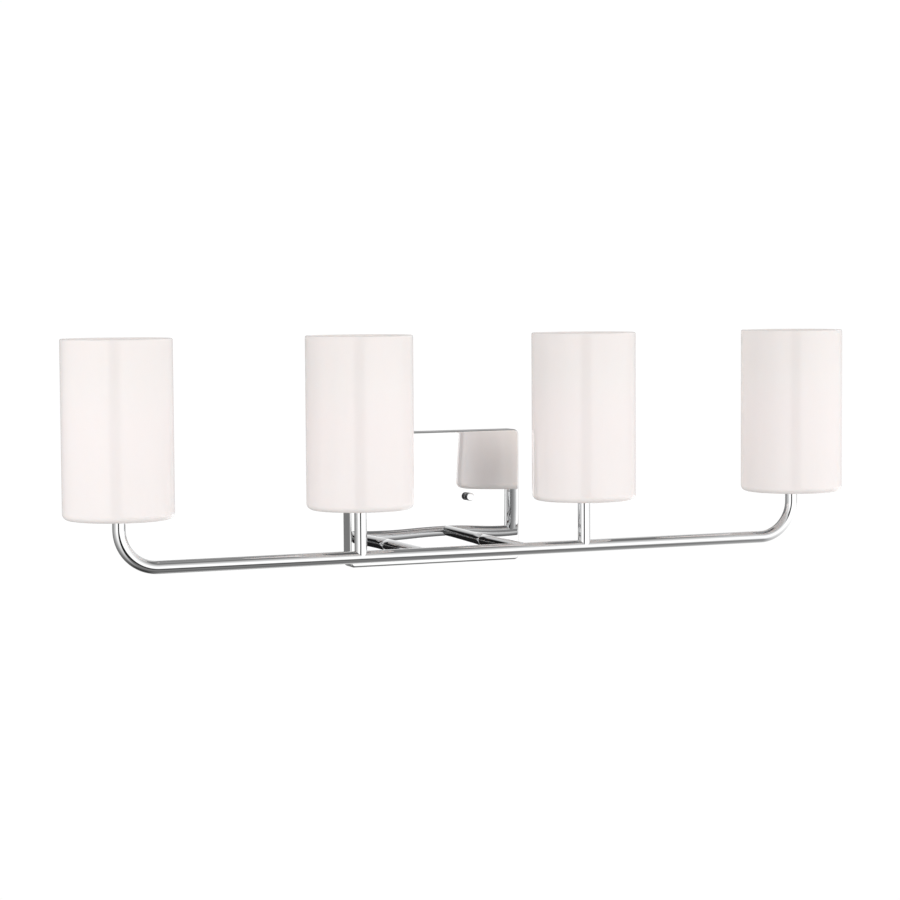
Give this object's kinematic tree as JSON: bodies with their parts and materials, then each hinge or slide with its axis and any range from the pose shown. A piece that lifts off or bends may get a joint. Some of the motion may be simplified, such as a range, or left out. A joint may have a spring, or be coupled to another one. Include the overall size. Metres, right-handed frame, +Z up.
{
  "type": "vanity light bar",
  "caption": "Wall-hung bar light: a chrome tube on two arms from a flat rectangular canopy carries a row of upright opal glass cylinders open at the top.",
  "frame": {"origin": "middle of the canopy's back, on the wall plane", "axes": "+X along the bar to the viewer's right, +Y into the wall (the fixture's front faces -Y), +Z up"},
  "size_m": [0.8052, 0.1648, 0.2304],
  "materials": {
    "polished_chrome": "mirror-polished chrome plate",
    "zinc_steel": "bright zinc-plated steel",
    "brass": "plain turned or rolled brass",
    "green_screw": "green-dyed steel",
    "black_wire": "insulated wire, satin",
    "white_wire": "insulated wire, satin",
    "bare_copper": "bare copper wire",
    "splice_plastic": "moulded",
    "clear_nylon": "natural nylon",
    "seal_rubber": "matte silicone",
    "holder_phenolic": "moulded, semi-gloss",
    "ring_phenolic": "moulded, semi-gloss",
    "opal_glass": "glossy white opal glass, translucent",
    "nickel_base": "nickel-plated rolled sheet",
    "bulb_housing": "satin white",
    "bulb_diffuser": "frosted white diffuser"
  },
  "bodies": {
    "fixture": {"backplate": "polished_chrome", "mounting_strap": "zinc_steel", "canopy_studs": "zinc_steel", "stud_nuts": "zinc_steel", "ground_screw": "green_screw", "arm_left": "polished_chrome", "arm_right": "polished_chrome", "arm_nipples": "brass", "arm_washers": "zinc_steel", "arm_nuts": "brass", "main_bar": "polished_chrome", "stem_left": "polished_chrome", "stem_right": "polished_chrome", "wire_hot": "black_wire", "wire_neutral": "white_wire", "wire_ground": "bare_copper", "wire_nuts": "splice_plastic", "seat_discs": "polished_chrome", "gaskets": "seal_rubber", "socket_nipples": "brass", "socket_caps": "zinc_steel", "centre_contacts": "brass", "holder_1": "holder_phenolic", "holder_2": "holder_phenolic", "holder_3": "holder_phenolic", "holder_4": "holder_phenolic", "screw_shell_1": "brass", "screw_shell_2": "brass", "screw_shell_3": "brass", "screw_shell_4": "brass", "shade_1": "opal_glass", "shade_2": "opal_glass", "shade_3": "opal_glass", "shade_4": "opal_glass"},
    "left_knob_washer": {"knob_washer_left": "clear_nylon"},
    "left_knob": {"knob_left": "polished_chrome"},
    "right_knob_washer": {"knob_washer_right": "clear_nylon"},
    "right_knob": {"knob_right": "polished_chrome"},
    "ring_washer_1": {"slip_washer_1": "zinc_steel"},
    "ring_1": {"shade_ring_1": "ring_phenolic"},
    "bulb_1": {"bulb_base_1": "nickel_base", "bulb_body_1": "bulb_housing", "bulb_globe_1": "bulb_diffuser"},
    "ring_washer_2": {"slip_washer_2": "zinc_steel"},
    "ring_2": {"shade_ring_2": "ring_phenolic"},
    "bulb_2": {"bulb_base_2": "nickel_base", "bulb_body_2": "bulb_housing", "bulb_globe_2": "bulb_diffuser"},
    "ring_washer_3": {"slip_washer_3": "zinc_steel"},
    "ring_3": {"shade_ring_3": "ring_phenolic"},
    "bulb_3": {"bulb_base_3": "nickel_base", "bulb_body_3": "bulb_housing", "bulb_globe_3": "bulb_diffuser"},
    "ring_washer_4": {"slip_washer_4": "zinc_steel"},
    "ring_4": {"shade_ring_4": "ring_phenolic"},
    "bulb_4": {"bulb_base_4": "nickel_base", "bulb_body_4": "bulb_housing", "bulb_globe_4": "bulb_diffuser"}
  },
  "joints": [
    {"name": "left_knob_travel", "type": "slide", "parent": "fixture", "child": "left_knob_washer", "axis": [0, -1, 0], "range_m": [0, 0.00476]},
    {"name": "left_knob_turn", "type": "hinge", "parent": "left_knob_washer", "child": "left_knob", "pos_m": [-0.0349, -0.0189, 0], "axis": [0, -1, 0], "range_deg": [0, 2162]},
    {"name": "right_knob_travel", "type": "slide", "parent": "fixture", "child": "right_knob_washer", "axis": [0, -1, 0], "range_m": [0, 0.00476]},
    {"name": "right_knob_turn", "type": "hinge", "parent": "right_knob_washer", "child": "right_knob", "pos_m": [0.0349, -0.0189, 0], "axis": [0, -1, 0], "range_deg": [0, 2162]},
    {"name": "ring_1_travel", "type": "slide", "parent": "fixture", "child": "ring_washer_1", "axis": [0, 0, 1], "range_m": [0, 0.0081]},
    {"name": "ring_1_turn", "type": "hinge", "parent": "ring_washer_1", "child": "ring_1", "pos_m": [-0.35175, -0.114, 0.0057], "axis": [0, 0, 1], "range_deg": [0, 1440]},
    {"name": "bulb_1_lift", "type": "slide", "parent": "fixture", "child": "bulb_1", "axis": [0, 0, 1], "range_m": [0, 0.16]},
    {"name": "ring_2_travel", "type": "slide", "parent": "fixture", "child": "ring_washer_2", "axis": [0, 0, 1], "range_m": [0, 0.0081]},
    {"name": "ring_2_turn", "type": "hinge", "parent": "ring_washer_2", "child": "ring_2", "pos_m": [-0.11725, -0.114, 0.0057], "axis": [0, 0, 1], "range_deg": [0, 1440]},
    {"name": "bulb_2_lift", "type": "slide", "parent": "fixture", "child": "bulb_2", "axis": [0, 0, 1], "range_m": [0, 0.16]},
    {"name": "ring_3_travel", "type": "slide", "parent": "fixture", "child": "ring_washer_3", "axis": [0, 0, 1], "range_m": [0, 0.0081]},
    {"name": "ring_3_turn", "type": "hinge", "parent": "ring_washer_3", "child": "ring_3", "pos_m": [0.11725, -0.114, 0.0057], "axis": [0, 0, 1], "range_deg": [0, 1440]},
    {"name": "bulb_3_lift", "type": "slide", "parent": "fixture", "child": "bulb_3", "axis": [0, 0, 1], "range_m": [0, 0.16]},
    {"name": "ring_4_travel", "type": "slide", "parent": "fixture", "child": "ring_washer_4", "axis": [0, 0, 1], "range_m": [0, 0.0081]},
    {"name": "ring_4_turn", "type": "hinge", "parent": "ring_washer_4", "child": "ring_4", "pos_m": [0.35175, -0.114, 0.0057], "axis": [0, 0, 1], "range_deg": [0, 1440]},
    {"name": "bulb_4_lift", "type": "slide", "parent": "fixture", "child": "bulb_4", "axis": [0, 0, 1], "range_m": [0, 0.16]}
  ],
  "couplings": [
    {"joint": "left_knob_turn", "follows": "left_knob_travel", "rad_per_m": 7915.8},
    {"joint": "right_knob_turn", "follows": "right_knob_travel", "rad_per_m": 7915.8},
    {"joint": "ring_1_travel", "follows": "ring_1_turn", "m_per_rad": 0.00031831},
    {"joint": "ring_2_travel", "follows": "ring_2_turn", "m_per_rad": 0.00031831},
    {"joint": "ring_3_travel", "follows": "ring_3_turn", "m_per_rad": 0.00031831},
    {"joint": "ring_4_travel", "follows": "ring_4_turn", "m_per_rad": 0.00031831}
  ]
}
